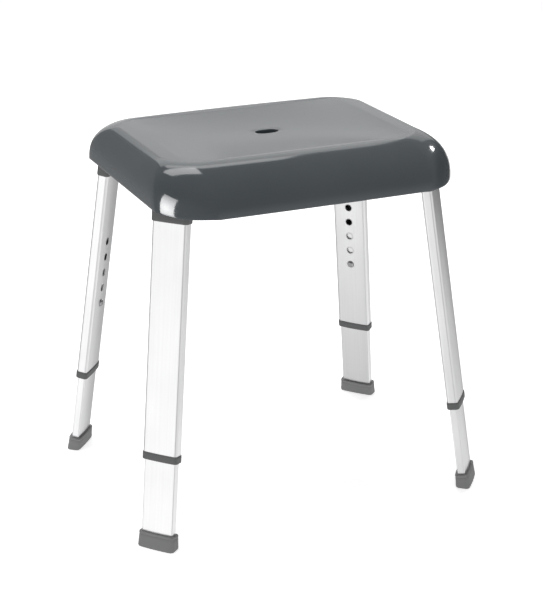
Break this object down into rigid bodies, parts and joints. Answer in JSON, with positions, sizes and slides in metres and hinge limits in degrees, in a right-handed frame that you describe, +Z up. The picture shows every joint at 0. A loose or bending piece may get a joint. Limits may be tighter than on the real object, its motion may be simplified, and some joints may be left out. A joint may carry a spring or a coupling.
{
  "type": "shower stool",
  "caption": "Height-adjustable shower stool: dished moulded seat with a drain hole on splayed flat-oval tube legs that telescope and lock with snap buttons, on rubber feet.",
  "frame": {"origin": "on the floor, midway between the four feet, with the legs at their longest setting", "axes": "+Z up, X along the wider way across the feet, -Y towards the front"},
  "size_m": [0.5326, 0.41, 0.523],
  "materials": {
    "seat_plastic": "smooth semi-gloss moulding",
    "grey_plastic": "fine matt moulding",
    "tube_aluminium": "satin anodised",
    "foot_rubber": "matt rubber",
    "button_steel": "polished",
    "spring_steel": "bright strip",
    "screw_steel": "zinc plated"
  },
  "bodies": {
    "root": {"seat_shell": "seat_plastic", "seat_screws": "screw_steel", "tube_screws": "screw_steel", "leg_socket_fl": "grey_plastic", "outer_tube_fl": "tube_aluminium", "end_collar_fl": "grey_plastic", "leg_socket_fr": "grey_plastic", "outer_tube_fr": "tube_aluminium", "end_collar_fr": "grey_plastic", "leg_socket_rl": "grey_plastic", "outer_tube_rl": "tube_aluminium", "end_collar_rl": "grey_plastic", "leg_socket_rr": "grey_plastic", "outer_tube_rr": "tube_aluminium", "end_collar_rr": "grey_plastic"},
    "leg_extension_fl": {"inner_tube_fl": "tube_aluminium", "rubber_foot_fl": "foot_rubber", "button_spring_fl": "spring_steel"},
    "button_fl": {"snap_button_fl": "button_steel"},
    "leg_extension_fr": {"inner_tube_fr": "tube_aluminium", "rubber_foot_fr": "foot_rubber", "button_spring_fr": "spring_steel"},
    "button_fr": {"snap_button_fr": "button_steel"},
    "leg_extension_rl": {"inner_tube_rl": "tube_aluminium", "rubber_foot_rl": "foot_rubber", "button_spring_rl": "spring_steel"},
    "button_rl": {"snap_button_rl": "button_steel"},
    "leg_extension_rr": {"inner_tube_rr": "tube_aluminium", "rubber_foot_rr": "foot_rubber", "button_spring_rr": "spring_steel"},
    "button_rr": {"snap_button_rr": "button_steel"}
  },
  "joints": [
    {"name": "leg_height_fl", "type": "slide", "parent": "root", "child": "leg_extension_fl", "axis": [0.1101, 0.1078, 0.9881], "range_m": [0, 0.1], "deforming": ["snap_button_fl"]},
    {"name": "button_press_fl", "type": "slide", "parent": "leg_extension_fl", "child": "button_fl", "axis": [-0.757, -0.6352, 0.1536], "range_m": [0, 0.0045], "stiffness_N_per_m": 2500, "springref_m": -0.001, "deforming": ["button_spring_fl"]},
    {"name": "leg_height_fr", "type": "slide", "parent": "root", "child": "leg_extension_fr", "axis": [-0.1101, 0.1078, 0.9881], "range_m": [0, 0.1], "deforming": ["snap_button_fr"]},
    {"name": "button_press_fr", "type": "slide", "parent": "leg_extension_fr", "child": "button_fr", "axis": [0.757, -0.6352, 0.1536], "range_m": [0, 0.0045], "stiffness_N_per_m": 2500, "springref_m": -0.001, "deforming": ["button_spring_fr"]},
    {"name": "leg_height_rl", "type": "slide", "parent": "root", "child": "leg_extension_rl", "axis": [0.1101, -0.1078, 0.9881], "range_m": [0, 0.1], "deforming": ["snap_button_rl"]},
    {"name": "button_press_rl", "type": "slide", "parent": "leg_extension_rl", "child": "button_rl", "axis": [-0.757, 0.6352, 0.1536], "range_m": [0, 0.0045], "stiffness_N_per_m": 2500, "springref_m": -0.001, "deforming": ["button_spring_rl"]},
    {"name": "leg_height_rr", "type": "slide", "parent": "root", "child": "leg_extension_rr", "axis": [-0.1101, -0.1078, 0.9881], "range_m": [0, 0.1], "deforming": ["snap_button_rr"]},
    {"name": "button_press_rr", "type": "slide", "parent": "leg_extension_rr", "child": "button_rr", "axis": [0.757, 0.6352, 0.1536], "range_m": [0, 0.0045], "stiffness_N_per_m": 2500, "springref_m": -0.001, "deforming": ["button_spring_rr"]}
  ]
}
